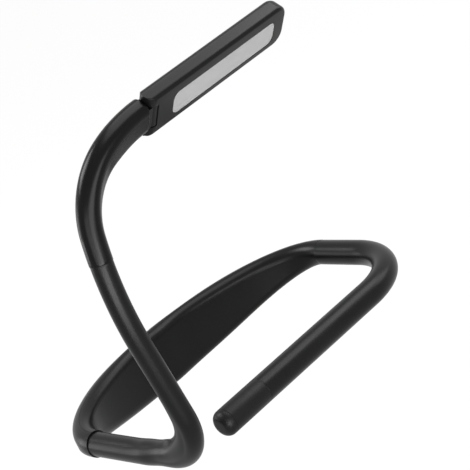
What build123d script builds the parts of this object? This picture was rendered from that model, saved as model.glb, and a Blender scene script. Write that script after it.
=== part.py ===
from build123d import *
from math import atan2, cos, degrees, radians, sin, sqrt
import os

# Neck reading light: a U-shaped collar whose back plate holds the battery and
# board. A bendable tail tube runs from its left end (+X) across the chest, and
# a bendable lamp tube from its right end (-X) rises to a rigid arm and a tilting
# light bar. Millimetres. The origin is the centre of the neck opening: +X runs
# from the lamp side to the tail side, -Y to the wearer's front, and +Z up.

# Collar plate
half_span = 77.5  # tube axis to the middle plane, at both ends
plate_depth = 42.3  # plan curve of the plate: half an ellipse this deep
plate_top = 6.0
plate_drop = 23.6  # lowest point of the lower edge, below the tube axes
edge_rise = 16.6  # how far the lower edge climbs towards the ends
end_height = 11.9  # the plate's ends blend into the round tubes
end_thick = 11.2
end_blend = 20  # power of that blend: a high one keeps it near the ends
mid_thick = 9.2
plate_wall = 1.5
shell_gap = 0.05  # between the two shells, on the mid surface
section_angles = [0, 8, 15, 24, 40, 62, 90]  # mirrored for the other half
cavity_angles = [15, 24, 40, 62, 90]

# Parts inside the plate
board_x = -31.0
board_size = (28.0, 15.5, 1.0)
board_tab = (12.0, 2.4)  # width and height of the tongue under the socket
board_centre_z = -6.0
board_offset = -1.6  # its outer face, from the mid surface
battery_x = 24.0
battery_size = (34.0, 14.0, 3.4)
battery_centre_z = -6.3
battery_corner = 1.5
battery_shift = -0.65  # inwards, so that the flat cell clears the curved wall
pad_size = (20.0, 11.0, 1.5)
socket_size = (8.94, 7.3, 3.2)  # USB-C receptacle: width, depth, height
socket_clear = 0.1
socket_corner = 1.2
socket_recess = 1.0  # its mouth, above the plate's lower edge
socket_wall = 0.3
socket_tongue = (6.6, 0.7, 6.3)  # width, thickness and length of the contact tongue
boss_radius = 1.7
boss_sink = 1.2  # their roots, below the plate's outer face: inside its wall
board_screw_radius = 0.7
board_screw_head = (1.3, 0.8)
board_screw_depth = 3.8
board_screw_inset = 2.0
board_screw_gap = 0.2  # left under its tip
button_radius = 3.5
button_clear = 0.12
button_spacing = 16.0
button_z = -6.0
button_proud = 0.6
button_travel = 0.35
button_edge = 0.4
button_flange = (4.1, 0.7)  # radius and thickness
button_core = 2.0
button_play = 0.75  # under the curved wall
switch_size = (4.2, 4.2, 1.5)
plunger_radius = 1.0
plunger_height = 0.5
plunger_play = 0.05
light_radius = 0.9
light_recess = 0.1

# Tubes
lamp_radius_root = 5.3
lamp_radius = 4.55
tail_radius = 5.9
hose_radius = 2.5
hose_bore = 1.4
lead_radius = 1.2
wire_radius = 2.0
fit_gap = 0.05  # radial clearance of a core in its sleeve
anchor_radius = 3.2
anchor_length = 7.0
core_grip = 5.0  # how far a core reaches into its anchor

# Lamp tube and arm path
lamp_reach = 74.7  # plate end to the riser's plane
lamp_bend = 24.2
riser_lean = 5.5  # degrees outwards
swing_zone_end = 34.0
pitch_zone_lead = 28.7  # before the corner
riser_zone_start = 26.5  # along the riser, from the corner
lean_zone_start = 32.0
lean_zone_end = 57.0
riser_straight = 57.9
sleeve_arc = (171.0, 12.3)  # radius and turn of each arc of the arm
arm_arcs = [(139.5, 4.0), (30.7, 20.3), (32.3, 39.4), (68.6, 18.5)]

# Tail tube path
tail_reach = 58.7
tail_bend = 34.4
open_zone_end = 22.0
raise_zone_lead = 36.5  # after the corner
raise_zone_length = 28.0
cap_x = -31.0
tail_end_x = -56.6
tail_end_fillet = 3.6
ferrule_radius = 3.4
ferrule_length = 9.0

# Arm
arm_radius = 4.7
arm_end = (14.9, 9.2, 4.0)  # width, thickness and corner radius at the hinge
arm_wall = 1.3
arm_widening = (0.145, 0.785)  # shares of its length where it starts and stops growing
arm_roundness = 0.98  # corner radius at the seam, as a share of the half width
arm_steps = 3  # sections an arc
arm_socket_turn = 3.0  # degrees of the arm's first arc
arm_socket_clear = 0.15
lead_last_share = 0.25  # the arm's lead stops this far into its last arc

# Light bar
light_angle = 40.0  # how far below level the light points
head_width = 19.8
head_thick = 8.0
head_end_radius = 6.0
head_back_fillet = 3.0
head_face_fillet = 1.6
head_wall = 1.4
bezel_thick = 2.2
head_shift = 0.3  # from the arm's axis, towards the lit side
pin_radius = 1.0
pin_head = (1.8, 1.2)  # radius and thickness
pin_slot = (0.5, 0.7)  # width and depth of the driver slot
pin_blind = 1.4  # wall left outside the pin's far end
tongue_width = 10.4
tongue_thick = 7.5
neck_relief = 0.45  # how much thinner the tongue's neck is on each side
shank_length = 6.0  # inside the arm
shank_clear = 0.4
washer_thick = 0.25
washer_radius = 3.2
slot_clear = 0.3  # from the tongue's round end to the hollow bottom of the fork
hinge_clear = 0.05
arm_gap = 0.25  # from the fork's round tips to the arm's end face
diffuser_size = (60.5, 11.1, 1.9)
diffuser_margins = (5.55, 7.0)  # from the fork's slot, and to the bar's free end
diffuser_shift = 0.95  # towards the bar's lower edge
diffuser_corner = 3.4
diffuser_recess = 0.15
diffuser_flange = (1.2, 0.6)  # width all round, and thickness
diffuser_gap = 0.08
led_board_thick = 1.0
led_count = 10
led_size = (2.8, 3.5, 0.7)
reflector_wall = 0.6

os.makedirs("parts", exist_ok=True)


def save(piece, name):
    """Label one finished piece and write it as its own STEP file."""
    piece.part.label = name
    export_step(piece.part, f"parts/{name}.step")
    return piece.part


def plate_point(angle):
    """Point on the plate's plan curve, at an angle round its ellipse."""
    return Vector(half_span * cos(radians(angle)), plate_depth * sin(radians(angle)), 0)


def plate_normal(angle):
    """Outward normal of the plan curve there."""
    across = Vector(cos(radians(angle)) / half_span, sin(radians(angle)) / plate_depth, 0)
    return across.normalized()


def plate_angle(x):
    """Angle round the ellipse where the plan curve passes x."""
    return degrees(atan2(sqrt(1 - (x / half_span) ** 2), x / half_span))


def plate_bottom(share):
    """Height of the lower edge, at a share of the way from the middle to an end."""
    last_rise = plate_drop + plate_top - end_height - edge_rise
    return -plate_drop + edge_rise * share**2 + last_rise * share**end_blend


def plate_section(angle, wall):
    """Upright stadium across the plate at an angle, drawn in by the wall."""
    share = abs(cos(radians(angle)))
    bottom = plate_bottom(share)
    thick = mid_thick + (end_thick - mid_thick) * share**end_blend - 2 * wall
    height = plate_top - bottom - 2 * wall
    centre = plate_point(angle) + Vector(0, 0, (plate_top + bottom) / 2)
    normal = plate_normal(angle)
    plane = Plane(centre, x_dir=normal, z_dir=normal.cross(Vector(0, 0, 1)))
    with BuildSketch(plane) as section:
        SlotOverall(height, thick, rotation=90)
    return section.sketch


def plate_body(angles, wall):
    """Loft of plate sections from the tail end round to the lamp end."""
    whole = angles + [180 - angle for angle in reversed(angles[:-1])]
    with BuildPart() as body:
        loft([plate_section(angle, wall) for angle in whole])
    return body.part


def mid_cylinder(gap):
    """Upright solid inside the plate's mid surface, open to the front."""
    with BuildPart() as inside:
        with BuildSketch(Plane.XY):
            Ellipse(half_span + gap, plate_depth + gap)
            with Locations((0, -plate_depth / 2)):
                Rectangle(2 * (half_span + gap), plate_depth)
        extrude(amount=2 * plate_drop, both=True)
    return inside.part


def local_plane(x, z):
    """Plane on the mid surface at x: its normal points outwards, its y up."""
    angle = plate_angle(x)
    origin = plate_point(angle) + Vector(0, 0, z)
    normal = plate_normal(angle)
    return Plane(origin, x_dir=Vector(0, 0, 1).cross(normal), z_dir=normal)


board_plane = local_plane(board_x, board_centre_z)
button_plane = local_plane(board_x, button_z)
battery_plane = local_plane(battery_x, battery_centre_z)
button_places = [(-button_spacing / 2, 0), (button_spacing / 2, 0)]
screw_places = [
    (side * (board_size[0] / 2 - board_screw_inset), board_size[1] / 2 - board_screw_inset)
    for side in (-1, 1)
]
socket_bottom = plate_bottom(abs(board_x) / half_span) + socket_recess
socket_plane = local_plane(board_x, socket_bottom + socket_size[1] / 2)

plate_solid = plate_body(section_angles, 0)
cavity_solid = plate_body(cavity_angles, plate_wall)
inner_half = mid_cylinder(-shell_gap)
inner_zone = mid_cylinder(shell_gap)
end_xs = (half_span, -half_span)

def cut_common():
    """Cuts that both shells share: bores for the anchors, and the socket's mouth."""
    with BuildPart() as cuts:
        with BuildSketch(Plane.XZ):
            with Locations(*[(x, 0) for x in end_xs]):
                Circle(anchor_radius)
        extrude(amount=-anchor_length - plate_wall)
        with BuildSketch(socket_plane.offset(board_offset - socket_clear)):
            Rectangle(socket_size[0] + 2 * socket_clear, socket_size[1] + 4 * socket_recess)
        extrude(amount=socket_size[2] + 2 * socket_clear)
        fillet(cuts.edges().filter_by(Axis.Z), socket_corner + socket_clear)
    return cuts.part


common_cuts = cut_common()

# Outer shell of the plate, with bosses for the board and holes for the buttons
with BuildPart() as back_shell:
    add(plate_solid)
    add(cavity_solid, mode=Mode.SUBTRACT)
    add(inner_zone, mode=Mode.SUBTRACT)
    with BuildSketch(board_plane.offset(board_offset)):
        with Locations(*screw_places):
            Circle(boss_radius)
    extrude(amount=mid_thick / 2 - boss_sink - board_offset)
    with BuildSketch(button_plane):
        with Locations(*button_places):
            Circle(button_radius + button_clear)
        Circle(light_radius + button_clear)
    extrude(amount=mid_thick, mode=Mode.SUBTRACT)
    with BuildSketch(board_plane.offset(board_offset)):
        with Locations(*screw_places):
            Circle(board_screw_radius)
    extrude(amount=board_screw_depth, mode=Mode.SUBTRACT)
    add(common_cuts, mode=Mode.SUBTRACT)
save(back_shell, "back_shell")

# Inner shell, against the neck
with BuildPart() as neck_shell:
    add(plate_solid)
    add(cavity_solid, mode=Mode.SUBTRACT)
    add(inner_half, mode=Mode.INTERSECT)
    add(common_cuts, mode=Mode.SUBTRACT)
save(neck_shell, "neck_shell")

# Main board, its two screws, the switches and the charging socket
with BuildPart() as main_board:
    with BuildSketch(board_plane.offset(board_offset - board_size[2])):
        Rectangle(board_size[0], board_size[1])
        with Locations((0, -board_size[1] / 2)):
            Rectangle(board_tab[0], 2 * board_tab[1])
        with Locations(*screw_places):
            Circle(board_screw_radius + fit_gap, mode=Mode.SUBTRACT)
    extrude(amount=board_size[2])
save(main_board, "main_board")

with BuildPart() as board_screws:
    with BuildSketch(board_plane.offset(board_offset - board_size[2] - board_screw_head[1])):
        with Locations(*screw_places):
            Circle(board_screw_head[0])
    extrude(amount=board_screw_head[1])
    with BuildSketch(board_plane.offset(board_offset - board_size[2])):
        with Locations(*screw_places):
            Circle(board_screw_radius)
    extrude(amount=board_size[2] + board_screw_depth - board_screw_gap)
save(board_screws, "board_screws")

with BuildPart() as tactile_switches:
    with BuildSketch(button_plane.offset(board_offset)):
        with Locations(*button_places):
            Rectangle(switch_size[0], switch_size[1])
    extrude(amount=switch_size[2])
    with BuildSketch(button_plane.offset(board_offset + switch_size[2])):
        with Locations(*button_places):
            Circle(plunger_radius)
    extrude(amount=plunger_height)
save(tactile_switches, "tactile_switches")

with BuildPart() as usb_socket:
    with BuildSketch(socket_plane.offset(board_offset)):
        Rectangle(socket_size[0], socket_size[1])
    extrude(amount=socket_size[2])
    fillet(usb_socket.edges().filter_by(Axis.Z), socket_corner)
    mouth = Plane(
        socket_plane.origin + socket_plane.z_dir * (board_offset + socket_size[2] / 2)
        - Vector(0, 0, socket_size[1] / 2),
        x_dir=socket_plane.x_dir,
        z_dir=(0, 0, -1),
    )
    with BuildSketch(mouth):
        SlotOverall(socket_size[0] - 2 * socket_wall, socket_size[2] - 2 * socket_wall)
        SlotOverall(socket_tongue[0], socket_tongue[1], mode=Mode.SUBTRACT)
    extrude(amount=-socket_tongue[2], mode=Mode.SUBTRACT)
save(usb_socket, "usb_socket")

with BuildPart() as charge_light:
    with BuildSketch(button_plane.offset(board_offset)):
        Circle(light_radius)
    extrude(amount=mid_thick / 2 - board_offset - light_recess)
save(charge_light, "charge_light")

# Battery on its foam pad
with BuildPart() as battery_cell:
    with BuildSketch(battery_plane.offset(battery_shift - battery_size[2] / 2)):
        RectangleRounded(battery_size[0], battery_size[1], battery_corner)
    extrude(amount=battery_size[2])
save(battery_cell, "battery_cell")

with BuildPart() as battery_pad:
    with BuildSketch(battery_plane.offset(battery_shift + battery_size[2] / 2)):
        Rectangle(pad_size[0], pad_size[1])
    extrude(amount=pad_size[2])
save(battery_pad, "battery_pad")

# Push buttons, pressed inwards along the plate's normal
button_base = board_offset + switch_size[2] + plunger_height + button_travel + plunger_play
button_axis = Axis(button_plane.origin, button_plane.z_dir)
flange_top = mid_thick / 2 - plate_wall - button_play
for name, place in zip(("brightness_button", "colour_button"), button_places):
    with BuildPart() as button:
        with BuildSketch(button_plane.offset(button_base)):
            with Locations(place):
                Circle(button_core)
        extrude(amount=flange_top - button_base)
        with BuildSketch(button_plane.offset(flange_top - button_flange[1])):
            with Locations(place):
                Circle(button_flange[0])
        extrude(amount=button_flange[1])
        with BuildSketch(button_plane.offset(flange_top)):
            with Locations(place):
                Circle(button_radius)
        extrude(amount=mid_thick / 2 + button_proud - flange_top)
        fillet(button.edges().group_by(button_axis)[-1], button_edge)
    save(button, name)

# Crimp ferrules that anchor the two cores in the plate's ends
for name, x, core in (
    ("tail_anchor", half_span, wire_radius),
    ("lamp_anchor", -half_span, hose_radius),
):
    with BuildPart() as anchor:
        with BuildSketch(Plane.XZ):
            with Locations((x, 0)):
                Circle(anchor_radius)
                Circle(core + fit_gap, mode=Mode.SUBTRACT)
        extrude(amount=-anchor_length)
    save(anchor, name)


def tube(name, line, outer, inner=0.0, end_outer=None):
    """One length of tube or rod along a line; a straight one may taper."""
    with BuildPart() as piece:
        if end_outer is None:
            with BuildSketch(Plane(line @ 0, z_dir=line % 0)):
                Circle(outer)
                if inner:
                    Circle(inner, mode=Mode.SUBTRACT)
            sweep(path=line)
        else:
            for end, radius in ((0, outer), (1, end_outer)):
                with BuildSketch(Plane(line @ end, z_dir=line % 0)):
                    Circle(radius)
            loft()
            with BuildSketch(Plane(line @ 0, z_dir=line % 0)):
                Circle(inner)
            extrude(amount=line.length, mode=Mode.SUBTRACT)
    return save(piece, name)


def run(*points, bend=None):
    """Path through points in space, its corners rounded to one radius."""
    with BuildLine() as line:
        if bend is None:
            Line(*points)
        else:
            FilletPolyline(*points, radius=bend)
    return line.wires()[0]


# Tail tube: zones that flex and stretches that keep their shape
raise_start_x = half_span - raise_zone_lead
raise_end_x = raise_start_x - raise_zone_length
tail_front = Vector(half_span, -tail_reach, 0)
tail_runs = {
    "flex_1": run((half_span, 0, 0), (half_span, -open_zone_end, 0)),
    "corner": run(
        (half_span, -open_zone_end, 0),
        tail_front,
        (raise_start_x, -tail_reach, 0),
        bend=tail_bend,
    ),
    "flex_2": run((raise_start_x, -tail_reach, 0), (raise_end_x, -tail_reach, 0)),
    "front": run((raise_end_x, -tail_reach, 0), (cap_x, -tail_reach, 0)),
}
for name, line in tail_runs.items():
    tube(f"tail_sleeve_{name}", line, tail_radius, wire_radius + fit_gap)
tail_runs["flex_1"] = run((half_span, core_grip, 0), (half_span, -open_zone_end, 0))
tail_runs["front"] = run((raise_end_x, -tail_reach, 0), (cap_x - ferrule_length, -tail_reach, 0))
for name, line in tail_runs.items():
    tube(f"tail_wire_{name}", line, wire_radius)

# Rigid cap on the tail, over the ferrule crimped to the wire's end
with BuildPart() as tail_ferrule:
    with BuildSketch(Plane((cap_x, -tail_reach, 0), z_dir=(-1, 0, 0))):
        Circle(ferrule_radius)
        Circle(wire_radius + fit_gap, mode=Mode.SUBTRACT)
    extrude(amount=ferrule_length)
save(tail_ferrule, "tail_ferrule")

with BuildPart() as tail_cap:
    with BuildSketch(Plane((cap_x, -tail_reach, 0), z_dir=(-1, 0, 0))):
        Circle(tail_radius)
    extrude(amount=cap_x - tail_end_x)
    fillet(tail_cap.faces().sort_by(Axis.X)[0].edges(), tail_end_fillet)
    with BuildSketch(Plane((cap_x, -tail_reach, 0), z_dir=(-1, 0, 0))):
        Circle(ferrule_radius + fit_gap)
    extrude(amount=ferrule_length + fit_gap, mode=Mode.SUBTRACT)
save(tail_cap, "tail_cap")

# Lamp tube: forward from the plate, up the riser, and into the arm's first arc
lamp_corner = Vector(-half_span, -lamp_reach, 0)
pitch_zone_start = lamp_reach - pitch_zone_lead
riser_direction = Vector(-sin(radians(riser_lean)), 0, cos(radians(riser_lean)))


def riser_point(distance):
    """Point on the riser's straight line, from its corner."""
    return lamp_corner + riser_direction * distance


def arc_point(start, heading, radius, turn):
    """Where an arc ends, in the riser's plane; headings are degrees from +Z to +X."""
    there = radians(heading + turn)
    here = radians(heading)
    return start + Vector(cos(here) - cos(there), 0, sin(there) - sin(here)) * radius


def arc_line(start, heading, radius, turn, before=None):
    """One arc of the arm's path, with a straight run before it if asked."""
    middle = arc_point(start, heading, radius, turn / 2)
    end = arc_point(start, heading, radius, turn)
    with BuildLine() as line:
        if before is not None:
            Line(before, start)
        ThreePointArc(start, middle, end)
    return line.wires()[0]


riser_end = riser_point(riser_straight)
seam_point = arc_point(riser_end, -riser_lean, *sleeve_arc)
seam_heading = sleeve_arc[1] - riser_lean
lamp_runs = {
    "flex_1": run((-half_span, 0, 0), (-half_span, -swing_zone_end, 0)),
    "base": run((-half_span, -swing_zone_end, 0), (-half_span, -pitch_zone_start, 0)),
    "flex_2": run(
        (-half_span, -pitch_zone_start, 0),
        lamp_corner,
        riser_point(riser_zone_start),
        bend=lamp_bend,
    ),
    "riser": run(riser_point(riser_zone_start), riser_point(lean_zone_start)),
    "flex_3": run(riser_point(lean_zone_start), riser_point(lean_zone_end)),
    "top": arc_line(riser_end, -riser_lean, *sleeve_arc, before=riser_point(lean_zone_end)),
}
for name, line in lamp_runs.items():
    outer = lamp_radius_root if name in ("flex_1", "base") else lamp_radius
    end_outer = lamp_radius if name == "base" else None
    tube(f"lamp_sleeve_{name}", line, outer, hose_radius + fit_gap, end_outer)
lamp_runs["flex_1"] = run((-half_span, core_grip, 0), (-half_span, -swing_zone_end, 0))
for name, line in lamp_runs.items():
    tube(f"lamp_hose_{name}", line, hose_radius, hose_bore)
    tube(f"lamp_lead_{name}", line, lead_radius)

# Arm: two half shells round a path of tangent arcs
arm_stations = []
station_point = seam_point
station_heading = seam_heading
arm_length = sum(radius * radians(turn) for radius, turn in arm_arcs)
travelled = 0.0
for radius, turn in arm_arcs:
    step_turn = turn / arm_steps
    for step in range(arm_steps):
        arm_stations.append((station_point, station_heading, travelled / arm_length))
        station_point = arc_point(station_point, station_heading, radius, step_turn)
        station_heading += step_turn
        travelled += radius * radians(step_turn)
arm_stations.append((station_point, station_heading, 1.0))
arm_tip = station_point


def arm_section(station, wall):
    """Rounded rectangle across the arm: round at the seam, oblong at the hinge."""
    point, heading, share = station
    start, stop = arm_widening
    blend = min(max((share - start) / (stop - start), 0), 1)
    blend = blend * blend * (3 - 2 * blend)
    width = 2 * arm_radius + (arm_end[0] - 2 * arm_radius) * blend
    thick = 2 * arm_radius + (arm_end[1] - 2 * arm_radius) * blend
    first_corner = arm_radius * arm_roundness
    corner = first_corner + (arm_end[2] - first_corner) * blend
    ahead = Vector(sin(radians(heading)), 0, cos(radians(heading)))
    inwards = Vector(cos(radians(heading)), 0, -sin(radians(heading)))
    across = Vector(0, sin(radians(light_angle)), 0) + inwards * cos(radians(light_angle))
    with BuildSketch(Plane(point, x_dir=across, z_dir=ahead)) as section:
        RectangleRounded(width - 2 * wall, thick - 2 * wall, corner - wall)
    return section.sketch


with BuildPart() as arm_solid:
    loft([arm_section(station, 0) for station in arm_stations])
with BuildPart() as arm_cavity:
    loft([arm_section(station, arm_wall) for station in arm_stations])

arm_plane = Plane((0, -lamp_reach, 0), x_dir=(1, 0, 0), z_dir=(0, -1, 0))
for name, keep in (("arm_front_shell", Keep.TOP), ("arm_rear_shell", Keep.BOTTOM)):
    with BuildPart() as arm_shell:
        add(arm_solid.part)
        add(arm_cavity.part, mode=Mode.SUBTRACT)
        split(bisect_by=arm_plane, keep=keep)
    save(arm_shell, name)

# Socket that joins the lamp tube's hose to the arm, and the lead beyond it
socket_line = arc_line(seam_point, seam_heading, arm_arcs[0][0], arm_socket_turn)
socket_outer = arm_radius - arm_wall - arm_socket_clear
tube("arm_socket", socket_line, socket_outer, lead_radius + fit_gap)

lead_start = seam_point
lead_heading = seam_heading
with BuildLine() as lead_line:
    for index, (radius, turn) in enumerate(arm_arcs):
        length = turn * (lead_last_share if index == len(arm_arcs) - 1 else 1)
        middle = arc_point(lead_start, lead_heading, radius, length / 2)
        end = arc_point(lead_start, lead_heading, radius, length)
        ThreePointArc(lead_start, middle, end)
        lead_start = end
        lead_heading += length
tube("arm_lead", lead_line.wires()[0], lead_radius)

# Light bar: its own plane lies across the bar, normal to the lit face
tip_heading = radians(station_heading)
bar_direction = Vector(sin(tip_heading), 0, cos(tip_heading))
bar_inwards = Vector(cos(tip_heading), 0, -sin(tip_heading))
light_direction = (
    Vector(0, -cos(radians(light_angle)), 0) + bar_inwards * sin(radians(light_angle))
)
head_origin = arm_tip + light_direction * head_shift
head_plane = Plane(head_origin, x_dir=bar_direction, z_dir=light_direction)
side_plane = Plane(head_origin, x_dir=bar_direction, z_dir=-head_plane.y_dir)
half_thick = head_thick / 2
pin_x = arm_gap + half_thick
fork_tip_x = pin_x - half_thick
tongue_round = tongue_thick / 2
slot_end_x = pin_x + tongue_round + slot_clear
slot_width = tongue_width + 2 * (washer_thick + 2 * hinge_clear)
flange_size = (
    diffuser_size[0] + 2 * diffuser_flange[0],
    diffuser_size[1] + 2 * diffuser_flange[0],
)
bezel_back = half_thick - bezel_thick
board_face = -half_thick + head_wall + led_board_thick
diffuser_x = slot_end_x + diffuser_margins[0] + diffuser_size[0] / 2
diffuser_at = (diffuser_x, -diffuser_shift)
head_free_x = diffuser_x + diffuser_size[0] / 2 + diffuser_margins[1]
led_pitch = diffuser_size[0] / led_count


def fork_cut():
    """Slot for the tongue, and the waste round the fork's tips."""
    reach = 2 * head_thick
    with BuildPart() as waste:
        with BuildSketch(side_plane):
            with Locations((pin_x, 0)):
                Rectangle(reach, reach, align=(Align.MAX, Align.CENTER))
                Circle(tongue_round + slot_clear)
        extrude(amount=slot_width / 2, both=True)
        with BuildSketch(side_plane):
            with Locations((pin_x, 0)):
                Rectangle(reach, reach, align=(Align.MAX, Align.CENTER))
                Circle(half_thick, mode=Mode.SUBTRACT)
        extrude(amount=head_width, both=True)
    return waste.part


def bar_outline():
    """Outline of the light bar, seen square to its lit face."""
    with BuildSketch() as outline:
        with Locations(((fork_tip_x + head_free_x) / 2, 0)):
            Rectangle(head_free_x - fork_tip_x, head_width)
        free_corners = outline.vertices().group_by(Axis.X)[-1]
        fillet(free_corners, head_end_radius)
    return outline.sketch


fork_waste = fork_cut()
pin_centre = head_origin + bar_direction * pin_x
pin_plane = Plane(pin_centre, x_dir=bar_direction, z_dir=-head_plane.y_dir)

with BuildPart() as head_housing:
    with BuildSketch(head_plane.offset(-half_thick)):
        add(bar_outline())
    extrude(amount=head_thick - bezel_thick)
    back_face = head_housing.faces().sort_by(Axis(head_origin, light_direction))[0]
    fillet(back_face.edges(), head_back_fillet)
    with BuildSketch(head_plane.offset(-half_thick + head_wall)):
        with Locations(diffuser_at):
            Rectangle(flange_size[0] + 2 * diffuser_gap, flange_size[1] + 2 * diffuser_gap)
    extrude(amount=head_thick, mode=Mode.SUBTRACT)
    add(fork_waste, mode=Mode.SUBTRACT)
    with BuildSketch(pin_plane.offset(-head_width / 2 + pin_blind)):
        Circle(pin_radius + fit_gap)
    extrude(amount=head_width, mode=Mode.SUBTRACT)
    with BuildSketch(pin_plane.offset(head_width / 2 - pin_head[1])):
        Circle(pin_head[0] + fit_gap)
    extrude(amount=head_width, mode=Mode.SUBTRACT)
save(head_housing, "head_housing")

with BuildPart() as head_bezel:
    with BuildSketch(head_plane.offset(bezel_back)):
        add(bar_outline())
    extrude(amount=bezel_thick)
    lit_face = head_bezel.faces().sort_by(Axis(head_origin, light_direction))[-1]
    fillet(lit_face.edges(), head_face_fillet)
    with BuildSketch(head_plane.offset(bezel_back)):
        with Locations(diffuser_at):
            RectangleRounded(
                diffuser_size[0] + 2 * diffuser_gap,
                diffuser_size[1] + 2 * diffuser_gap,
                diffuser_corner + diffuser_gap,
            )
    extrude(amount=bezel_thick, mode=Mode.SUBTRACT)
    add(fork_waste, mode=Mode.SUBTRACT)
save(head_bezel, "head_bezel")

# Diffuser, with a flange trapped behind the bezel
with BuildPart() as diffuser:
    with BuildSketch(head_plane.offset(bezel_back - diffuser_flange[1])):
        with Locations(diffuser_at):
            Rectangle(*flange_size)
    extrude(amount=diffuser_flange[1])
    with BuildSketch(head_plane.offset(bezel_back)):
        with Locations(diffuser_at):
            RectangleRounded(diffuser_size[0], diffuser_size[1], diffuser_corner)
    extrude(amount=bezel_thick - diffuser_recess)
save(diffuser, "diffuser")

# Board with its row of light chips, and the white reflector round them
with BuildPart() as led_board:
    with BuildSketch(head_plane.offset(board_face - led_board_thick)):
        with Locations(diffuser_at):
            Rectangle(*flange_size)
    extrude(amount=led_board_thick)
save(led_board, "led_board")

with BuildPart() as leds:
    with BuildSketch(head_plane.offset(board_face)):
        with Locations(diffuser_at):
            with GridLocations(led_pitch, 0, led_count, 1):
                Rectangle(led_size[0], led_size[1])
    extrude(amount=led_size[2])
save(leds, "leds")

with BuildPart() as reflector:
    with BuildSketch(head_plane.offset(board_face)):
        with Locations(diffuser_at):
            Rectangle(*flange_size)
            Rectangle(
                flange_size[0] - 2 * reflector_wall,
                flange_size[1] - 2 * reflector_wall,
                mode=Mode.SUBTRACT,
            )
    extrude(amount=bezel_back - diffuser_flange[1] - board_face)
save(reflector, "reflector")

# Hinge: the arm's tongue, its screw pin and two friction washers
with BuildPart() as hinge_tongue:
    with BuildSketch(side_plane):
        with Locations((pin_x, 0)):
            Circle(tongue_round)
            neck_thick = tongue_thick - 2 * neck_relief
            Rectangle(half_thick + arm_gap, neck_thick, align=(Align.MAX, Align.CENTER))
    extrude(amount=tongue_width / 2, both=True)
    with BuildSketch(Plane(arm_tip, x_dir=side_plane.z_dir, z_dir=-bar_direction)):
        RectangleRounded(
            arm_end[0] - 2 * (arm_wall + shank_clear),
            arm_end[1] - 2 * (arm_wall + shank_clear),
            arm_end[2] - arm_wall,
        )
    extrude(amount=shank_length)
    with BuildSketch(side_plane):
        with Locations((pin_x, 0)):
            Circle(pin_radius + fit_gap)
    extrude(amount=tongue_width, both=True, mode=Mode.SUBTRACT)
save(hinge_tongue, "hinge_tongue")

with BuildPart() as hinge_pin:
    with BuildSketch(pin_plane.offset(-head_width / 2 + pin_blind)):
        Circle(pin_radius)
    extrude(amount=head_width - pin_blind - pin_head[1])
    with BuildSketch(pin_plane.offset(head_width / 2 - pin_head[1])):
        Circle(pin_head[0])
    extrude(amount=pin_head[1])
    with BuildSketch(pin_plane.offset(head_width / 2 - pin_slot[1])):
        Rectangle(2 * pin_head[0], pin_slot[0])
    extrude(amount=pin_slot[1], mode=Mode.SUBTRACT)
save(hinge_pin, "hinge_pin")

with BuildPart() as friction_washers:
    for side in (-1, 1):
        inner = side * (tongue_width / 2 + hinge_clear)
        with BuildSketch(pin_plane.offset(inner)):
            Circle(washer_radius)
            Circle(pin_radius + fit_gap, mode=Mode.SUBTRACT)
        extrude(amount=side * washer_thick)
save(friction_washers, "friction_washers")
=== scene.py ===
from math import cos, pi, radians, sin
import bpy
import bmesh
from mathutils import Matrix, Vector


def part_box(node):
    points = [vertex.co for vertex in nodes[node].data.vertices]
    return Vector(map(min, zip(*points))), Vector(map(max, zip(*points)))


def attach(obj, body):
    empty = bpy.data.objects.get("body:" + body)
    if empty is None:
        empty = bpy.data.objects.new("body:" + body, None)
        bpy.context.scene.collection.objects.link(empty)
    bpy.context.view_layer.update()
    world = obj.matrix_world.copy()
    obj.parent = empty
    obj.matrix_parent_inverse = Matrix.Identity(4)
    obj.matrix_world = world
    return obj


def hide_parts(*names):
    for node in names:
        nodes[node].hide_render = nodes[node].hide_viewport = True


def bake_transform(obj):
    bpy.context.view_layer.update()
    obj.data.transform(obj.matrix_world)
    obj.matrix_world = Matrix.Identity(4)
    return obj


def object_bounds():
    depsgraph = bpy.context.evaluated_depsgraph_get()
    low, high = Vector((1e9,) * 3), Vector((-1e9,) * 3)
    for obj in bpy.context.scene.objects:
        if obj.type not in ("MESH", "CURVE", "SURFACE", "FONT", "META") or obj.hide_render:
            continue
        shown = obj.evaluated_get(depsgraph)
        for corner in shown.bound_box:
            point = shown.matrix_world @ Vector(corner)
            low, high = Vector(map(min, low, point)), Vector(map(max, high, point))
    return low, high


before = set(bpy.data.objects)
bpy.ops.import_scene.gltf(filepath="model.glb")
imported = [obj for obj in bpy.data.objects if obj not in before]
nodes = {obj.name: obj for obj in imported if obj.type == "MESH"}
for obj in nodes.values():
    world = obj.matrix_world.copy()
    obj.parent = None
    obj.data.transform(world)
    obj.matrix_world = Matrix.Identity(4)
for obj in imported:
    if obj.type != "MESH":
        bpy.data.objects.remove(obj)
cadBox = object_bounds()
mm = 0.001
sameSpot = 0.001 * mm  # points nearer than this are one
scene = bpy.context.scene
scene.view_settings.view_transform = "Standard"
print("frame loaded:", len(nodes), "nodes")

# Camera, tilted to one side as the photograph is
view = {
    "place": (-0.37727, -0.54976, 0.28380),
    "ahead": (0.56352, 0.75296, -0.33985),
    "right": (0.64418, -0.65806, -0.38985),
    "lens": 123.19,
    "sensor": 36,
    "clip": (0.01, 20),
}


def addCamera():
    ahead = Vector(view["ahead"]).normalized()
    right = Vector(view["right"])
    right = (right - ahead * right.dot(ahead)).normalized()
    up = right.cross(ahead)
    data = bpy.data.cameras.new("photoCamera")
    data.lens = view["lens"]
    data.sensor_width = view["sensor"]
    data.clip_start, data.clip_end = view["clip"]
    camera = bpy.data.objects.new("photoCamera", data)
    scene.collection.objects.link(camera)
    turn = Matrix((right, up, -ahead)).transposed().to_4x4()
    camera.matrix_world = Matrix.Translation(view["place"]) @ turn
    scene.camera = camera


addCamera()
print("camera placed")

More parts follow.
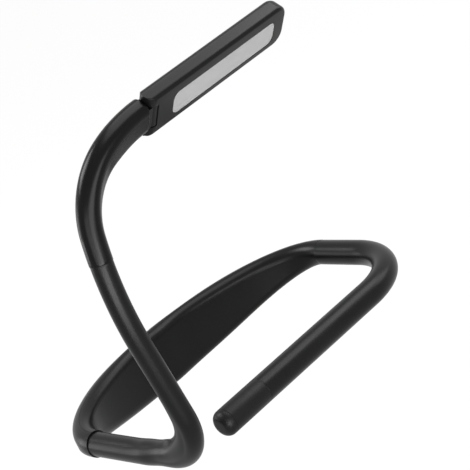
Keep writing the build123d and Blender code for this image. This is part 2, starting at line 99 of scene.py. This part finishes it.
# Soft studio: a white room, soft lamps and a pale floor below the light
studio = {
    "floorDrop": 0.060,  # under the lowest point
    "floorHalf": 3.0,
    "floorShade": 0.80,
    "floorGlow": 0.96,  # share of plain white the camera sees
    "roomLevel": 0.45,
    "lamps": {
        # where, aimed at, width, height, watts
        "frontLamp": ((-0.25, -0.91, 0.10), (-0.03, -0.04, 0.06), 0.90, 0.40, 7.5),
        "leftLamp": ((-0.80, -0.48, 0.12), (-0.03, -0.04, 0.06), 0.45, 0.45, 2.4),
        "kneeLamp": ((-0.30, -0.38, -0.075), (-0.08, -0.07, 0.03), 0.35, 0.20, 3.2),
        "rightLamp": ((0.68, -0.30, 0.55), (-0.03, -0.04, 0.06), 0.45, 0.55, 3.2),
        "topLamp": ((0.36, -0.17, 0.86), (-0.03, -0.04, 0.06), 0.70, 0.70, 6.5),
        "leftBackLamp": ((-0.48, 0.74, 0.10), (-0.03, -0.04, 0.06), 0.45, 0.45, 2.4),
        "topBackLamp": ((-0.38, 0.42, 0.76), (-0.05, -0.04, 0.08), 0.45, 0.50, 9.0),
    },
}


# 1 for rays that look at the room, straight or off gloss or through clear plastic
def addSeenRays(tree):
    path = tree.nodes.new("ShaderNodeLightPath")
    seen = tree.nodes.new("ShaderNodeMath")
    seen.operation = "MAXIMUM"
    through = tree.nodes.new("ShaderNodeMath")
    through.operation = "MAXIMUM"
    tree.links.new(path.outputs["Is Camera Ray"], seen.inputs[0])
    tree.links.new(path.outputs["Is Glossy Ray"], seen.inputs[1])
    tree.links.new(seen.outputs[0], through.inputs[0])
    tree.links.new(path.outputs["Is Transmission Ray"], through.inputs[1])
    return through.outputs[0]


def addRoom():
    world = bpy.data.worlds.new("whiteRoom")
    world.use_nodes = True
    tree = world.node_tree
    tree.nodes.clear()
    level = tree.nodes.new("ShaderNodeMapRange")
    level.inputs["To Min"].default_value = studio["roomLevel"]
    level.inputs["To Max"].default_value = 1.0
    glow = tree.nodes.new("ShaderNodeBackground")
    glow.inputs["Color"].default_value = (1, 1, 1, 1)
    end = tree.nodes.new("ShaderNodeOutputWorld")
    tree.links.new(addSeenRays(tree), level.inputs["Value"])
    tree.links.new(level.outputs["Result"], glow.inputs["Strength"])
    tree.links.new(glow.outputs[0], end.inputs["Surface"])
    scene.world = world


def addFloor():
    bm = bmesh.new()
    bmesh.ops.create_grid(bm, x_segments=1, y_segments=1, size=studio["floorHalf"])
    bmesh.ops.translate(bm, verts=bm.verts, vec=(0, 0, cadBox[0].z - studio["floorDrop"]))
    mesh = bpy.data.meshes.new("floor")
    bm.to_mesh(mesh)
    bm.free()
    floor = bpy.data.objects.new("floor", mesh)
    scene.collection.objects.link(floor)
    paint = bpy.data.materials.new("paleFloor")
    paint.use_nodes = True
    tree = paint.node_tree
    tree.nodes.clear()
    matt = tree.nodes.new("ShaderNodeBsdfDiffuse")
    matt.inputs["Color"].default_value = (*[studio["floorShade"]] * 3, 1)
    white = tree.nodes.new("ShaderNodeEmission")
    part = tree.nodes.new("ShaderNodeMath")
    part.operation = "MULTIPLY"
    part.inputs[1].default_value = studio["floorGlow"]
    mix = tree.nodes.new("ShaderNodeMixShader")
    end = tree.nodes.new("ShaderNodeOutputMaterial")
    tree.links.new(addSeenRays(tree), part.inputs[0])
    tree.links.new(part.outputs[0], mix.inputs["Fac"])
    tree.links.new(matt.outputs[0], mix.inputs[1])
    tree.links.new(white.outputs[0], mix.inputs[2])
    tree.links.new(mix.outputs[0], end.inputs["Surface"])
    floor.data.materials.append(paint)


def addLamp(name, place, aim, width, height, watts):
    data = bpy.data.lights.new(name, "AREA")
    data.shape = "RECTANGLE"
    data.size = width
    data.size_y = height
    data.energy = watts
    lamp = bpy.data.objects.new(name, data)
    lamp.location = place
    lamp.rotation_euler = (Vector(aim) - Vector(place)).to_track_quat("-Z", "Y").to_euler()
    scene.collection.objects.link(lamp)


addRoom()
addFloor()
for lampName, lampFacts in studio["lamps"].items():
    addLamp(lampName, *lampFacts)
print("studio lit")

# Fine grain and faint smudges, shared by every finish
noise = {
    "grainDetail": 2,
    "smudgeDetail": 4,
    "smudgeScale": 60.0,
    "smudgeMiddle": 0.5,
    "tintChange": 0.15,  # share by which a smudge shades the tint
}


def makeGrainGroup():
    group = bpy.data.node_groups.new("fineGrain", "ShaderNodeTree")
    # each finish sets its own grain, roughness, smudges and tint
    for title, kind, value in (
        ("Place", "NodeSocketVector", None),
        ("Grain Scale", "NodeSocketFloat", 4000.0),
        ("Smudge Scale", "NodeSocketFloat", noise["smudgeScale"]),
        ("Base Roughness", "NodeSocketFloat", 0.5),
        ("Smudge Amount", "NodeSocketFloat", 0.1),
        ("Tint", "NodeSocketColor", None),
        ("Tint Change", "NodeSocketFloat", noise["tintChange"]),
    ):
        socket = group.interface.new_socket(title, in_out="INPUT", socket_type=kind)
        if value is not None:
            socket.default_value = value
    group.interface.new_socket("Color", in_out="OUTPUT", socket_type="NodeSocketColor")
    group.interface.new_socket("Roughness", in_out="OUTPUT", socket_type="NodeSocketFloat")
    group.interface.new_socket("Height", in_out="OUTPUT", socket_type="NodeSocketFloat")
    start = group.nodes.new("NodeGroupInput")
    end = group.nodes.new("NodeGroupOutput")
    grain = group.nodes.new("ShaderNodeTexNoise")
    grain.inputs["Detail"].default_value = noise["grainDetail"]
    smudge = group.nodes.new("ShaderNodeTexNoise")
    smudge.inputs["Detail"].default_value = noise["smudgeDetail"]
    group.links.new(start.outputs["Place"], grain.inputs["Vector"])
    group.links.new(start.outputs["Grain Scale"], grain.inputs["Scale"])
    group.links.new(start.outputs["Place"], smudge.inputs["Vector"])
    group.links.new(start.outputs["Smudge Scale"], smudge.inputs["Scale"])
    group.links.new(grain.outputs["Fac"], end.inputs["Height"])
    centred = group.nodes.new("ShaderNodeMath")
    centred.operation = "SUBTRACT"
    centred.inputs[1].default_value = noise["smudgeMiddle"]
    group.links.new(smudge.outputs["Fac"], centred.inputs[0])
    rough = group.nodes.new("ShaderNodeMath")
    rough.operation = "MULTIPLY_ADD"
    group.links.new(centred.outputs[0], rough.inputs[0])
    group.links.new(start.outputs["Smudge Amount"], rough.inputs[1])
    group.links.new(start.outputs["Base Roughness"], rough.inputs[2])
    group.links.new(rough.outputs[0], end.inputs["Roughness"])
    change = group.nodes.new("ShaderNodeMath")
    change.operation = "MULTIPLY_ADD"
    change.inputs[2].default_value = 1.0
    group.links.new(centred.outputs[0], change.inputs[0])
    group.links.new(start.outputs["Tint Change"], change.inputs[1])
    tinted = group.nodes.new("ShaderNodeVectorMath")
    tinted.operation = "SCALE"
    group.links.new(start.outputs["Tint"], tinted.inputs[0])
    group.links.new(change.outputs[0], tinted.inputs["Scale"])
    group.links.new(tinted.outputs[0], end.inputs["Color"])
    return group


grainGroup = makeGrainGroup()

# Finishes: tint, roughness, smudges, grain size and depth in mm, specular level and metal
finishes = {
    "sleeveSilicone": ((0.0028, 0.0028, 0.0030), 0.30, 0.10, 0.25, 0.004, 0.12, 0),
    "plateSilicone": ((0.0024, 0.0024, 0.0025), 0.31, 0.08, 0.25, 0.003, 0.12, 0),
    "capPlastic": ((0.0028, 0.0028, 0.0029), 0.42, 0.10, 0.20, 0.003, 0.12, 0),
    "armPlastic": ((0.0012, 0.0012, 0.0013), 0.24, 0.08, 0.30, 0.001, 0.12, 0),
    "barPlastic": ((0.0024, 0.0024, 0.0025), 0.30, 0.08, 0.20, 0.003, 0.12, 0),
    "keySilicone": ((0.0120, 0.0120, 0.0124), 0.45, 0.10, 0.20, 0.004, 0.20, 0),
    "frostedSheet": ((0.17, 0.17, 0.17), 0.34, 0.06, 0.15, 0.002, 0.50, 0),
    "frostedPipe": ((0.60, 0.60, 0.57), 0.40, 0.05, 0.15, 0.002, 0.50, 0),
    "whitePlastic": ((0.75, 0.75, 0.73), 0.45, 0.08, 0.20, 0.003, 0.50, 0),
    "whiteMask": ((0.70, 0.70, 0.68), 0.30, 0.08, 0.30, 0.002, 0.50, 0),
    "greenMask": ((0.02, 0.12, 0.05), 0.28, 0.10, 0.30, 0.004, 0.50, 0),
    "phosphorChip": ((0.80, 0.62, 0.20), 0.35, 0.08, 0.10, 0.002, 0.50, 0),
    "nickelSteel": ((0.60, 0.60, 0.61), 0.30, 0.15, 0.10, 0.002, 0.50, 1),
    "crimpBrass": ((0.62, 0.46, 0.20), 0.34, 0.15, 0.10, 0.003, 0.50, 1),
    "woundSteel": ((0.45, 0.45, 0.46), 0.36, 0.15, 0.10, 0.003, 0.50, 1),
    "drawnAluminium": ((0.68, 0.68, 0.69), 0.32, 0.12, 0.10, 0.003, 0.50, 1),
    "pouchFoil": ((0.60, 0.60, 0.62), 0.36, 0.20, 0.60, 0.020, 0.50, 1),
    "leadJacket": ((0.030, 0.030, 0.030), 0.42, 0.08, 0.20, 0.003, 0.45, 0),
    "blackFoam": ((0.035, 0.035, 0.035), 0.85, 0.10, 0.50, 0.060, 0.20, 0),
    "blackAcetal": ((0.040, 0.040, 0.040), 0.34, 0.08, 0.20, 0.002, 0.45, 0),
}


def makeFinish(name, tint, rough, smudge, grain, depth, shine, metal):
    paint = bpy.data.materials.new(name)
    paint.use_nodes = True
    tree = paint.node_tree
    shader = tree.nodes["Principled BSDF"]
    shader.inputs["Metallic"].default_value = metal
    shader.inputs["Specular IOR Level"].default_value = shine
    place = tree.nodes.new("ShaderNodeTexCoord")
    marks = tree.nodes.new("ShaderNodeGroup")
    marks.node_tree = grainGroup
    marks.inputs["Grain Scale"].default_value = 1 / (grain * mm)
    marks.inputs["Base Roughness"].default_value = rough
    marks.inputs["Smudge Amount"].default_value = smudge
    marks.inputs["Tint"].default_value = (*tint, 1)
    bump = tree.nodes.new("ShaderNodeBump")
    bump.inputs["Distance"].default_value = depth * mm
    tree.links.new(place.outputs["Object"], marks.inputs["Place"])
    tree.links.new(marks.outputs["Color"], shader.inputs["Base Color"])
    tree.links.new(marks.outputs["Roughness"], shader.inputs["Roughness"])
    tree.links.new(marks.outputs["Height"], bump.inputs["Height"])
    tree.links.new(bump.outputs["Normal"], shader.inputs["Normal"])
    return paint


finish = {name: makeFinish(name, *facts) for name, facts in finishes.items()}
print("finishes made:", len(finish))

# Which finish each CAD node wears
nodeFinish = {
    "back_shell": "plateSilicone", "neck_shell": "plateSilicone",
    "lamp_sleeve": "sleeveSilicone", "tail_sleeve": "sleeveSilicone", "tail_cap": "capPlastic",
    "arm_front_shell": "armPlastic", "arm_rear_shell": "armPlastic",
    "hinge_tongue": "barPlastic", "head_housing": "barPlastic", "head_bezel": "barPlastic",
    "brightness_button": "keySilicone", "colour_button": "keySilicone",
    "diffuser": "frostedSheet", "charge_light": "frostedPipe", "reflector": "whitePlastic",
    "tactile_switches": "whitePlastic", "led_board": "whiteMask", "leds": "phosphorChip",
    "main_board": "greenMask", "usb_socket": "nickelSteel", "board_screws": "nickelSteel",
    "hinge_pin": "nickelSteel", "friction_washers": "blackAcetal", "battery_cell": "pouchFoil",
    "battery_pad": "blackFoam", "lamp_anchor": "crimpBrass", "tail_anchor": "crimpBrass",
    "tail_ferrule": "crimpBrass", "arm_socket": "crimpBrass", "lamp_hose": "woundSteel",
    "tail_wire": "drawnAluminium", "lamp_lead": "leadJacket", "arm_lead": "leadJacket",
}
for name, node in nodes.items():
    key = max((start for start in nodeFinish if name.startswith(start)), key=len)
    node.data.materials.clear()
    node.data.materials.append(finish[nodeFinish[key]])
print("CAD nodes dressed")

# Routes: a leg is its length in mm, its bend radius (0 if straight) and the axis it bends about
across = Vector((1, 0, 0))
towardsBack = Vector((0, 1, 0))
upright = Vector((0, 0, 1))


def carry(place, leg, length):
    radius, axis = leg[1:]
    ahead = place.col[2].to_3d()
    if not radius:
        return Matrix.Translation(ahead * length) @ place
    pivot = place.translation + axis.cross(ahead) * radius
    turn = Matrix.Rotation(length / radius, 4, axis)
    return Matrix.Translation(pivot) @ turn @ Matrix.Translation(-pivot) @ place


def layRoute(start, ahead, side, legs):
    place = Matrix((side, ahead.cross(side), ahead)).transposed().to_4x4()
    place.translation = start
    route = []
    gone = 0.0
    for leg in legs:
        route.append((gone, leg, place))
        place = carry(place, leg, leg[0])
        gone += leg[0]
    return route


def routeLength(route):
    return route[-1][0] + route[-1][1][0]


def stationOn(route, distance):
    gone, leg, place = [stop for stop in route if stop[0] <= distance + 1e-6][-1]
    return carry(place, leg, distance - gone)


def spread(first, last, step):
    count = max(1, round((last - first) / step))
    return [first + (last - first) * number / count for number in range(count + 1)]


def easeBetween(value, start, stop):
    share = min(max((value - start) / (stop - start), 0), 1)
    return share * share * (3 - 2 * share)


# A flat grid wrapped round a route: one ring of it for each row
def wrapGrid(rings, around, placePoint):
    bm = bmesh.new()
    bmesh.ops.create_grid(bm, x_segments=len(rings) - 1, y_segments=around, size=1)
    for vert in bm.verts:
        ring = rings[round((vert.co.x + 1) / 2 * (len(rings) - 1))]
        vert.co = placePoint(ring, (vert.co.y + 1) / 2) * mm
    bmesh.ops.remove_doubles(bm, verts=bm.verts, dist=sameSpot)
    return bm


def closeEnds(bm):
    bmesh.ops.holes_fill(bm, edges=[edge for edge in bm.edges if edge.is_boundary], sides=0)


shadedSharp = radians(35)  # edges that turn more than this look sharp


def makePiece(bm, name, finishName, slotName, *replaced):
    bmesh.ops.recalc_face_normals(bm, faces=bm.faces)
    for face in bm.faces:
        face.smooth = True
    for edge in bm.edges:
        edge.smooth = edge.calc_face_angle(0) < shadedSharp
    mesh = bpy.data.meshes.new(name)
    bm.to_mesh(mesh)
    bm.free()
    mesh.materials.append(finish[finishName])
    piece = bpy.data.objects.new(name, mesh)
    scene.collection.objects.link(piece)
    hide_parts(*replaced)
    return piece


def roundEdges(bm, edges, size, steps):
    bmesh.ops.bevel(
        bm,
        geom=edges,
        offset=size * mm,
        offset_type="OFFSET",
        segments=steps,
        profile=0.5,
        affect="EDGES",
        material=-1,
        clamp_overlap=True,
    )


# Walls of the two soft tubes
tubeWall = {
    "ringStep": 1.0,
    "boreStep": 3.0,
    "around": 56,
    "lip": 0.05,  # rounding where a tube meets a rigid part
    "lipRings": 4,
}
# Hose, lead and wire inside them
cores = {
    "ringStep": 1.5,
    "endRound": 0.15,  # of a rod, as a share of its radius
    "leadAround": 16,
    "wireAround": 24,
    "hoseAround": 24,
    "ringsPerTurn": 5,  # of the wound hose
}


# Sleeve along a route: outside, rounded ends where asked, and back down the bore
def sleeveMesh(route, first, last, radiusAt, bore, lips, swellAt=None):
    lip = tubeWall["lip"]
    start = first + lip * lips[0]
    stop = last - lip * lips[1]
    outside = [(gone, radiusAt(gone)) for gone in spread(start, stop, tubeWall["ringStep"])]
    angles = [pi / 2 * number / tubeWall["lipRings"] for number in range(tubeWall["lipRings"])]
    if lips[0]:
        edge = radiusAt(first) - lip
        outside = [(start - lip * cos(angle), edge + lip * sin(angle)) for angle in angles] + outside
    if lips[1]:
        edge = radiusAt(last) - lip
        outside += [(stop + lip * cos(angle), edge + lip * sin(angle)) for angle in reversed(angles)]
    inside = [(gone, bore) for gone in reversed(spread(first, last, tubeWall["boreStep"]))]
    rings = [(stationOn(route, gone), radius, gone) for gone, radius in outside + inside + outside[:1]]

    def placePoint(ring, share):
        place, radius, gone = ring
        angle = 2 * pi * share
        if swellAt and radius > bore:
            radius += swellAt(gone, angle)
        return place @ Vector((radius * cos(angle), radius * sin(angle), 0))

    return wrapGrid(rings, tubeWall["around"], placePoint)


# Plain rod along a route, chamfered at both ends
def rodMesh(route, first, last, radius, around):
    edge = cores["endRound"] * radius
    sizes = [(gone, radius) for gone in spread(first + edge, last - edge, cores["ringStep"])]
    sizes = [(first, radius - edge), *sizes, (last, radius - edge)]
    rings = [(stationOn(route, gone), size) for gone, size in sizes]

    def placePoint(ring, share):
        place, size = ring
        angle = 2 * pi * share
        return place @ Vector((size * cos(angle), size * sin(angle), 0))

    bm = wrapGrid(rings, around, placePoint)
    closeEnds(bm)
    return bm


# Lamp tube: from the plate's end forward, up the riser and into the arm
lampTube = {
    "coreGrip": 5.0,  # of the cores, inside the plate's end
    "reach": 74.7,  # of its corner, forward from the plate's end
    "bend": 24.2,  # radius at its corner
    "lean": 5.5,  # degrees outwards
    "riserEnd": 57.9,  # up the riser from its corner, as riserZone and leanEnd are
    "topArc": (171.0, 12.3),  # radius and degrees
    "riserZone": (26.5, 32.0),  # the rigid stretch of the riser
    "leanEnd": 57.0,  # of the flexible stretch above it
    "riserRadius": 4.55,
    "bore": 2.55,
    "hose": (2.5, 1.4, 0.28),  # outer radius, bore and depth of the winding's groove
    "hosePitch": 1.5,
    "leadRadius": 1.2,
    "ringReach": 3.5,  # of the bend's tilted end rings, along it
}
# Its extra thickness inside the bend: how much, over what reach, and how far before the middle
elbow = {
    "swell": 4.3,
    "reach": 38.0,
    "early": 5.0,
    "fade": 1.5,  # how fast it fades round the tube
}
rootLow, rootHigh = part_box("lamp_sleeve_flex_1")
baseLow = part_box("lamp_sleeve_base")[0]
lampX = (rootLow.x + rootHigh.x) / 2 / mm
lampRadii = ((rootHigh.x - rootLow.x) / 2 / mm, lampTube["riserRadius"])
lean = radians(lampTube["lean"])
riserAhead = Vector((-sin(lean), 0, cos(lean)))
frontwards = -towardsBack
bendAxis = frontwards.cross(riserAhead)
topRadius, topTurn = lampTube["topArc"]
lampRoute = layRoute(
    Vector((lampX, lampTube["coreGrip"], 0)),
    frontwards,
    across,
    [
        (lampTube["coreGrip"] + lampTube["reach"] - lampTube["bend"], 0, None),
        (lampTube["bend"] * pi / 2, lampTube["bend"], bendAxis),
        (lampTube["riserEnd"] - lampTube["bend"], 0, None),
        (topRadius * radians(topTurn), topRadius, towardsBack),
    ],
)
lampStart = lampTube["coreGrip"]
swingEnd = lampStart - rootLow.y / mm
pitchStart = lampStart - baseLow.y / mm
riserOffset = lampRoute[2][0] - lampTube["bend"]
riserFrom, riserTo = (riserOffset + mark for mark in lampTube["riserZone"])
lampEnd = routeLength(lampRoute)


def lampRadiusAt(gone):
    return lampRadii[0] + (lampRadii[1] - lampRadii[0]) * easeBetween(gone, swingEnd, pitchStart)


def lampSwellAt(gone, angle):
    middle = lampRoute[1][0] + lampRoute[1][1][0] / 2 - elbow["early"]
    share = easeBetween(elbow["reach"] - abs(gone - middle), 0, elbow["reach"])
    return elbow["swell"] * share * max(0, sin(angle)) ** elbow["fade"]


# The stretches meet where the tube is rigid: at the end of its base and at the end of the riser's rigid
# stretch
lampStretches = {
    # first and last place, rounded ends, and the CAD stretches it stands for
    "Root": (lampStart, pitchStart, (1, 0), ("flex_1", "base")),
    "Bend": (pitchStart, riserTo, (0, 0), ("flex_2", "riser")),
    "Top": (riserTo, lampEnd, (0, 1), ("flex_3", "top")),
}


# Wound hose: the groove between its turns runs round it as a helix
def hoseMesh(route, first, last):
    outer, bore, groove = lampTube["hose"]
    pitch = lampTube["hosePitch"]
    outside = [(gone, outer) for gone in spread(first, last, pitch / cores["ringsPerTurn"])]
    inside = [(gone, bore) for gone in reversed(spread(first, last, tubeWall["boreStep"]))]
    rings = [(stationOn(route, gone), size, gone) for gone, size in outside + inside + outside[:1]]

    def placePoint(ring, share):
        place, size, gone = ring
        if size == outer:
            size -= groove * (0.5 + 0.5 * cos(2 * pi * (gone / pitch - share))) ** 3
        return place @ Vector((size * cos(2 * pi * share), size * sin(2 * pi * share), 0))

    return wrapGrid(rings, cores["hoseAround"], placePoint)


for title, (first, last, lips, stretches) in lampStretches.items():
    coreFirst = 0.0 if title == "Root" else first
    skin = sleeveMesh(lampRoute, first, last, lampRadiusAt, lampTube["bore"], lips, lampSwellAt)
    hose = hoseMesh(lampRoute, coreFirst, last)
    lead = rodMesh(lampRoute, coreFirst, last, lampTube["leadRadius"], cores["leadAround"])
    for bm, piece, cadPart, finishName, slotName in (
        (skin, "Skin", "sleeve", "sleeveSilicone", "tube_rubber"),
        (hose, "Hose", "hose", "woundSteel", "hose_steel"),
        (lead, "Lead", "lead", "leadJacket", "lead_pvc"),
    ):
        replaced = [f"lamp_{cadPart}_{stretch}" for stretch in stretches]
        done = makePiece(bm, f"lamp{piece}{title}", finishName, slotName, *replaced)
        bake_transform(done)
print("lamp tube swept")

# Tail tube: from the plate's other end round its corner and across the chest
tailTube = {
    "reach": 58.7,  # of its corner, forward from the plate's end
    "bend": 34.4,  # radius at its corner
    "raiseZone": (41.0, 13.0),  # X where the flexible stretch starts and ends
    "capX": -31.0,  # where the cap starts
    "ferrule": 9.0,  # how far the wire runs on into the cap
    "bore": 2.05,
    "wireRadius": 2.0,
}
openLow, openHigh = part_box("tail_sleeve_flex_1")
tailX = (openLow.x + openHigh.x) / 2 / mm
tailRadius = (openHigh.x - openLow.x) / 2 / mm
tailRoute = layRoute(
    Vector((tailX, lampTube["coreGrip"], 0)),
    frontwards,
    across,
    [
        (lampTube["coreGrip"] + tailTube["reach"] - tailTube["bend"], 0, None),
        (tailTube["bend"] * pi / 2, tailTube["bend"], -upright),
        (2 * tailX, 0, None),
    ],
)
tailStart = lampTube["coreGrip"]
openStop = tailStart - openLow.y / mm
frontOffset = tailRoute[2][0] + tailX - tailTube["bend"]
raiseStart, raiseStop = (frontOffset - x for x in tailTube["raiseZone"])
capStart = frontOffset - tailTube["capX"]
tailZones = {
    # first and last place, core's first and last, rounded ends, bodies, blend, CAD stretches
    "Corner": ((tailStart, raiseStart), (0.0, raiseStart), (1, 0), ("collar", "tail_corner"),
               (tailStart, openStop), ("flex_1", "corner")),
    "Front": ((raiseStart, capStart), (raiseStart, capStart + tailTube["ferrule"]), (0, 1),
              ("tail_corner", "tail_arm"), (raiseStart, raiseStop), ("flex_2", "front")),
}
for title, (skinSpan, wireSpan, lips, bodies, zone, stretches) in tailZones.items():
    skin = sleeveMesh(tailRoute, *skinSpan, lambda gone: tailRadius, tailTube["bore"], lips)
    wire = rodMesh(tailRoute, *wireSpan, tailTube["wireRadius"], cores["wireAround"])
    for bm, piece, cadPart, finishName, slotName in (
        (skin, "Skin", "sleeve", "sleeveSilicone", "tube_rubber"),
        (wire, "Wire", "wire", "drawnAluminium", "wire_metal"),
    ):
        replaced = [f"tail_{cadPart}_{stretch}" for stretch in stretches]
        done = makePiece(bm, f"tail{piece}{title}", finishName, slotName, *replaced)
        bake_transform(done)
print("tail tube swept")

# Tail cap: a turned plug with a fine joint line before its round end
tailCap = {
    "endX": -56.6,
    "endRound": 3.6,
    "endRings": 12,
    "lip": 0.06,
    "lipRings": 3,
    "boreRadius": 3.45,
    "boreDepth": 9.05,
    "lineBack": 0.5,  # from the start of the round
    "lineSize": (0.30, 0.14),  # width and depth
    "lineFloor": (0.7, 0.3),  # from and to these shares of its width
    "around": 72,
}


def quarterTurn(steps):
    return [pi / 2 * number / steps for number in range(steps + 1)]


def makeTailCap():
    radius = tailRadius
    mouth = tailTube["capX"]
    end = tailCap["endX"]
    lip = tailCap["lip"]
    rounding = tailCap["endRound"]
    bore = tailCap["boreRadius"]
    boreEnd = mouth - tailCap["boreDepth"]
    wide, deep = tailCap["lineSize"]
    line = end + rounding + tailCap["lineBack"]
    profile = [(boreEnd, 0), (boreEnd, bore), (mouth, bore)]
    for turn in quarterTurn(tailCap["lipRings"]):
        profile.append((mouth - lip + lip * cos(turn), radius - lip + lip * sin(turn)))
    profile.append((line + wide, radius))
    for share in tailCap["lineFloor"]:
        profile.append((line + share * wide, radius - deep))
    profile.append((line, radius))
    for turn in quarterTurn(tailCap["endRings"]):
        profile.append((end + rounding - rounding * sin(turn), radius - rounding + rounding * cos(turn)))
    profile.append((end, 0))
    bm = bmesh.new()
    middle = Vector((0, -tailTube["reach"], 0))
    points = [bm.verts.new((middle + Vector((x, 0, height))) * mm) for x, height in profile]
    edges = [bm.edges.new(pair) for pair in zip(points, points[1:])]
    bmesh.ops.spin(
        bm,
        geom=points + edges,
        cent=middle * mm,
        axis=across,
        angle=2 * pi,
        steps=tailCap["around"],
        use_merge=True,
    )
    bmesh.ops.remove_doubles(bm, verts=bm.verts, dist=sameSpot)
    piece = makePiece(bm, "tailCap", "capPlastic", "cap_plastic", "tail_cap")
    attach(piece, "tail_arm")


makeTailCap()
print("tail cap turned")

# Arm: one swept body, round at the tube and oblong at the hinge, cut into two half shells
arm = {
    "arcs": [(139.5, 4.0), (30.7, 20.3), (32.3, 39.4), (68.6, 18.5)],  # radius and degrees
    "tubeRadius": 4.7,
    "hingeEnd": (14.9, 9.2, 4.0),  # width, thickness and corner radius
    "roundness": 0.98,  # of the corners at the tube, as a share of the radius
    "widening": (0.145, 0.785),  # shares of its length
    "twist": 40.0,  # degrees the width leans from the arm's plane
    "wall": 1.3,
    "ringStep": 0.8,
    "evenFrom": 1.0,  # from either end, where the even rings start
    "around": 72,
    "lipRings": (0, 0.3, 1),  # shares of the lip
    "endRound": 0.35,
    "endRings": (1, 0.6, 0.25, 0),  # shares of the end's round
    "rimTurn": 60,  # degrees: edges that turn more belong to the cut's rim
    "rimRound": (0.12, 2),  # size and steps
}
seam = stationOn(lampRoute, lampEnd)
seamAhead = seam.col[2].to_3d()
armInwards = towardsBack.cross(seamAhead)
armSide = towardsBack * sin(radians(arm["twist"])) + armInwards * cos(radians(arm["twist"]))
armRoute = layRoute(
    seam.translation,
    seamAhead,
    armSide,
    [(radius * radians(turn), radius, towardsBack) for radius, turn in arm["arcs"]],
)
armLength = routeLength(armRoute)


# Point on a rounded rectangle, a share of the way round it
def onRoundedBox(share, halfWide, halfThick, corner):
    flatWide = halfWide - corner
    flatThick = halfThick - corner
    bend = corner * pi / 2
    quarter, rest = divmod(share * 4, 1)
    walked = rest * (flatWide + flatThick + bend)
    if quarter % 2:
        walked = flatWide + flatThick + bend - walked
    if walked < flatThick:
        x, y = halfWide, walked
    elif walked < flatThick + bend:
        turn = (walked - flatThick) / corner
        x, y = flatWide + corner * cos(turn), flatThick + corner * sin(turn)
    else:
        x, y = flatWide - (walked - flatThick - bend), halfThick
    return Vector((x if quarter in (0, 3, 4) else -x, y if quarter in (0, 1, 4) else -y, 0))


def armRings():
    wide, thick, corner = arm["hingeEnd"]
    lip = tubeWall["lip"]
    ends = arm["endRound"]
    first = arm["tubeRadius"]
    places = [share * lip for share in arm["lipRings"]]
    places += spread(arm["evenFrom"], armLength - arm["evenFrom"], arm["ringStep"])
    places += [armLength - share * ends for share in arm["endRings"]]
    rings = []
    for gone in places:
        grown = easeBetween(gone / armLength, *arm["widening"])
        fromEnd = max(0, 1 - gone / lip)
        drawn = lip * (1 - (1 - fromEnd**2) ** 0.5)
        fromTip = max(0, 1 - (armLength - gone) / ends)
        drawn += ends * (1 - (1 - fromTip**2) ** 0.5)
        rings.append((
            stationOn(armRoute, gone),
            first + (wide / 2 - first) * grown - drawn,
            first + (thick / 2 - first) * grown - drawn,
            first * arm["roundness"] + (corner - first * arm["roundness"]) * grown - drawn,
        ))
    return rings


def makeArmHalf(name, replaced, keepFront):
    bm = wrapGrid(
        armRings(), arm["around"], lambda ring, share: ring[0] @ onRoundedBox(share, *ring[1:])
    )
    bmesh.ops.recalc_face_normals(bm, faces=bm.faces)
    bmesh.ops.bisect_plane(
        bm,
        geom=bm.verts[:] + bm.edges[:] + bm.faces[:],
        plane_co=armRoute[0][2].translation * mm,
        plane_no=frontwards,
        clear_inner=keepFront,
        clear_outer=not keepFront,
    )
    bmesh.ops.solidify(bm, geom=bm.faces, thickness=arm["wall"] * mm)
    rims = [edge for edge in bm.edges if edge.calc_face_angle(0) > radians(arm["rimTurn"])]
    roundEdges(bm, rims, *arm["rimRound"])
    piece = makePiece(bm, name, "armPlastic", "arm_plastic", replaced)
    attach(piece, "lamp_arm")


makeArmHalf("armFrontHalf", "arm_front_shell", True)
makeArmHalf("armRearHalf", "arm_rear_shell", False)
print("arm shells swept")

# Light bar: its two shells as the CAD has them, with the edges of the fork's tips rounded
bar = {
    "shift": 0.3,  # of its middle plane, from the arm's axis towards the lit side
    "seamHeight": 1.8,  # where the two shells meet, from the middle plane
    "seamSlack": 0.01,
    "cheekMiddle": 7.0,  # across, between a cheek's slot side and its outer side
    "tipLength": 4.3,  # of the fork's tips
    "tipRound": (1.1, 4),  # size and steps
    "slotRound": (0.2, 2),
    "flatTurn": 0.3,  # degrees: triangles that turn less are one face
    "sharpTurn": 40,  # degrees: edges that turn more are rounded
}
barPlace = stationOn(armRoute, armLength)
fromBar = barPlace.inverted()


# Where a point lies: along the bar, across it, and towards its lit side
def onBar(vert):
    local = fromBar @ (vert.co / mm)
    return local.z, local.x, -local.y - bar["shift"]


# The edges to round: those of the fork's tips, apart from the shells' seam
def isSharpAtTip(edge):
    ends = [onBar(vert) for vert in edge.verts]
    atTip = max(end[0] for end in ends) <= bar["tipLength"]
    onSeam = all(abs(end[2] - bar["seamHeight"]) < bar["seamSlack"] for end in ends)
    return atTip and not onSeam and edge.calc_face_angle(0) >= radians(bar["sharpTurn"])


def isOutside(edge):
    return all(abs(onBar(vert)[1]) > bar["cheekMiddle"] for vert in edge.verts)


def roundShell(nodeName, pieceName):
    bm = bmesh.new()
    bm.from_mesh(nodes[nodeName].data)
    bmesh.ops.remove_doubles(bm, verts=bm.verts, dist=sameSpot)
    bmesh.ops.dissolve_limit(bm, angle_limit=radians(bar["flatTurn"]), verts=bm.verts, edges=bm.edges)
    outside = [edge for edge in bm.edges if isSharpAtTip(edge) and isOutside(edge)]
    roundEdges(bm, outside, *bar["tipRound"])
    inSlot = [edge for edge in bm.edges if isSharpAtTip(edge) and not isOutside(edge)]
    roundEdges(bm, inSlot, *bar["slotRound"])
    piece = makePiece(bm, pieceName, "barPlastic", "bar_plastic", nodeName)
    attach(piece, "light_bar")


roundShell("head_housing", "barHousing")
roundShell("head_bezel", "barBezel")
print("light bar rounded")
